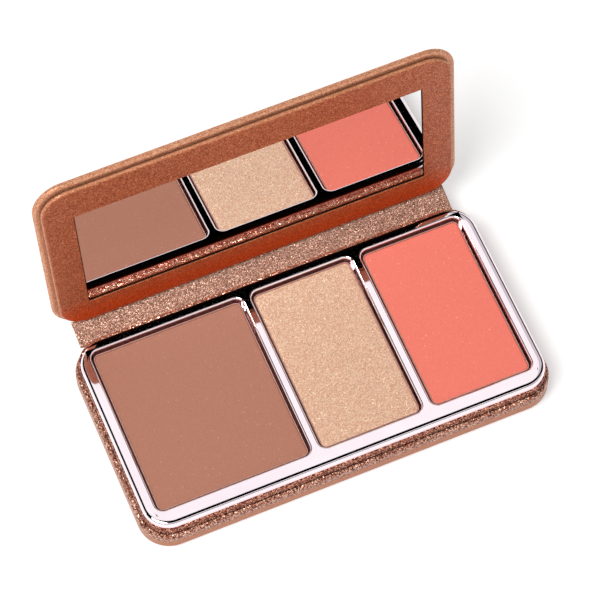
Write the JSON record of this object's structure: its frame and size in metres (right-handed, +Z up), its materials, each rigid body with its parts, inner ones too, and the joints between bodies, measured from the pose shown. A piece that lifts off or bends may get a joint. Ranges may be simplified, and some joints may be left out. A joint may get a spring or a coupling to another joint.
{
  "type": "face palette",
  "caption": "Rounded makeup palette of wrapped board: a plated tray of pressed powders in a hinged base, with a framed mirror in a thin lid that folds on a soft spine.",
  "frame": {"origin": "centre of the base's flat underside", "axes": "+X to the right along the long side, +Y from the front edge to the hinge, +Z up"},
  "size_m": [0.1226, 0.0796, 0.0718],
  "materials": {
    "glitter_skin": "glitter-coated bookbinding skin, bronze brown",
    "grey_board": "grey bookbinding board",
    "adhesive": "double-sided adhesive film",
    "steel_strip": "plain steel strip",
    "magnet": "nickel-plated bar magnet",
    "tin_pan": "bright stamped pan",
    "rose_plating": "vacuum-metallised rose-gold moulding",
    "bronzer_powder": "matte pressed powder",
    "highlighter_powder": "fine shimmer pressed powder",
    "blush_powder": "satin pressed powder",
    "mirror": "silvered flat glass"
  },
  "bodies": {
    "base": {"base_core": "grey_board", "base_wrap": "glitter_skin", "tier_board": "grey_board", "tier_wrap": "glitter_skin", "left_magnet": "magnet", "right_magnet": "magnet", "tray_insert": "rose_plating", "tray_tape": "adhesive", "bronzer_pad": "adhesive", "bronzer_pan": "tin_pan", "bronzer_cake": "bronzer_powder", "highlighter_pad": "adhesive", "highlighter_pan": "tin_pan", "highlighter_cake": "highlighter_powder", "blush_pad": "adhesive", "blush_pan": "tin_pan", "blush_cake": "blush_powder", "base_fold": "glitter_skin"},
    "spine": {"spine_board": "grey_board", "spine_lining": "glitter_skin", "spine_cover": "glitter_skin"},
    "lid": {"lid_board": "grey_board", "lid_wrap": "glitter_skin", "lid_tape": "adhesive", "frame_board": "grey_board", "frame_wrap": "glitter_skin", "mirror_glass": "mirror", "mirror_tape": "adhesive", "left_strike_plate": "steel_strip", "right_strike_plate": "steel_strip", "lid_fold": "glitter_skin"}
  },
  "joints": [
    {"name": "spine_hinge", "type": "hinge", "parent": "base", "child": "spine", "pos_m": [0, 0.0319, 0.00665], "axis": [1, 0, 0], "range_deg": [-56.2, 74.8], "deforming": ["base_fold"]},
    {"name": "lid_hinge", "type": "hinge", "parent": "spine", "child": "lid", "pos_m": [0, 0.03873, 0.0085], "axis": [1, 0, 0], "range_deg": [-27.2, 21.6], "deforming": ["lid_fold"]}
  ]
}
